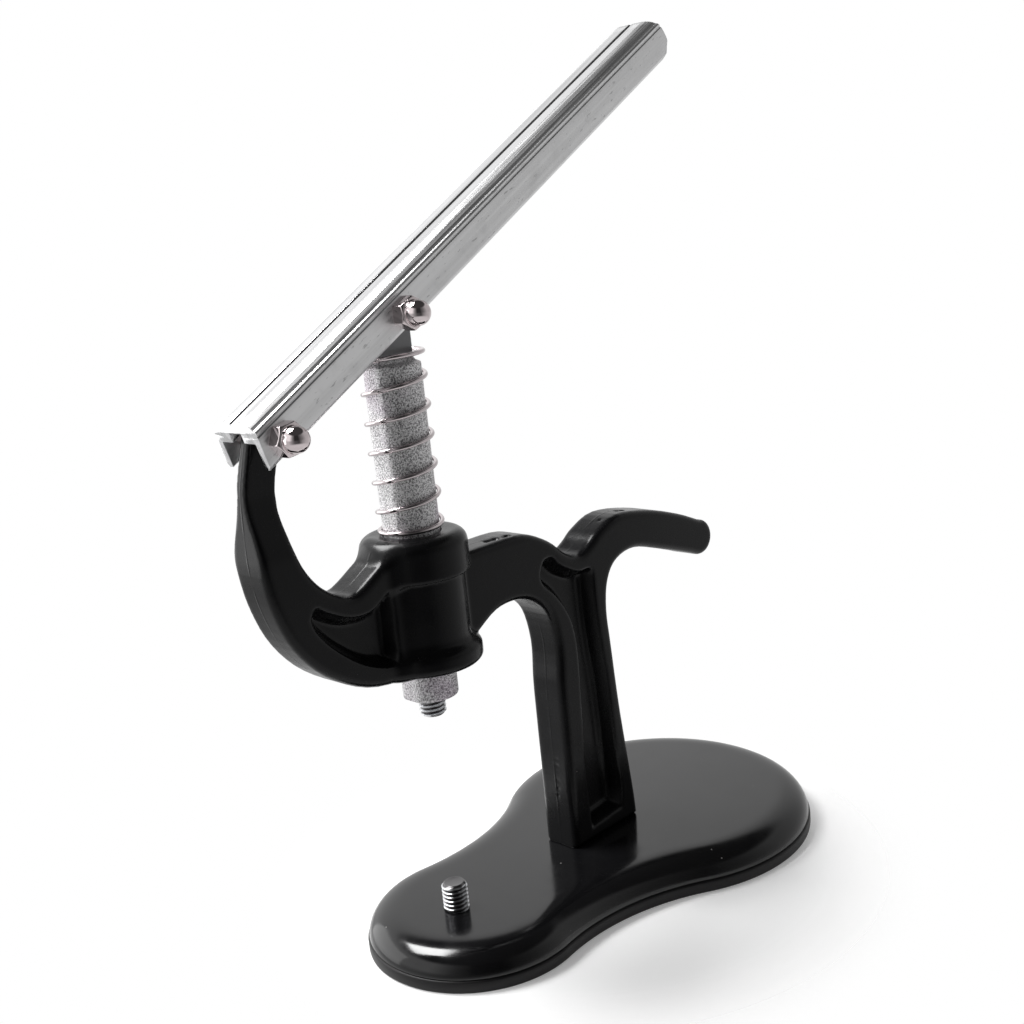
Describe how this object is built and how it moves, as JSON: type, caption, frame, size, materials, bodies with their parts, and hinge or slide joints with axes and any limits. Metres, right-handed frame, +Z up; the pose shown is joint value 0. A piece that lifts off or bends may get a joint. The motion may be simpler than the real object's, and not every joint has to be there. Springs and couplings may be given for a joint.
{
  "type": "snap setting press",
  "caption": "Hand lever press for setting snap fasteners: black cast C-frame on a flat base, sprung ram guided in a boss and an aluminium channel lever.",
  "frame": {"origin": "where the ram's axis meets the underside of the base pad", "axes": "+Z up along the ram, +X back from the ram towards the column, +Y to the side of the lever's bolt heads"},
  "size_m": [0.154, 0.0814, 0.2032],
  "materials": {
    "rubber_pad": "matte",
    "black_paint": "gloss",
    "zinc_steel": "satin",
    "diecast_grey": "matte",
    "spring_steel": "gloss",
    "extruded_aluminium": "satin",
    "nickel_plate": "gloss"
  },
  "bodies": {
    "frame": {"base_pad": "rubber_pad", "base_casting": "black_paint", "frame_casting": "black_paint", "frame_screws": "zinc_steel", "anvil_stud": "zinc_steel", "return_spring": "spring_steel"},
    "ram": {"ram": "diecast_grey", "ram_stud": "zinc_steel"},
    "lever": {"lever_channel": "extruded_aluminium", "front_pivot_bolt": "nickel_plate", "front_cap_nut": "nickel_plate", "ram_pivot_bolt": "nickel_plate", "ram_cap_nut": "nickel_plate"}
  },
  "joints": [
    {"name": "lever_hinge", "type": "hinge", "parent": "frame", "child": "lever", "pos_m": [-0.0342, 0, 0.1243], "axis": [0, 1, 0], "range_deg": [0, 48], "stiffness_Nm_per_rad": 0.8, "springref_deg": -15.47},
    {"name": "ram_slide", "type": "slide", "parent": "frame", "child": "ram", "axis": [0, 0, -1], "range_m": [0, 0.031], "deforming": ["return_spring"]}
  ],
  "couplings": [
    {"joint": "ram_slide", "follows": "lever_hinge", "m_per_rad": 0.0366}
  ]
}
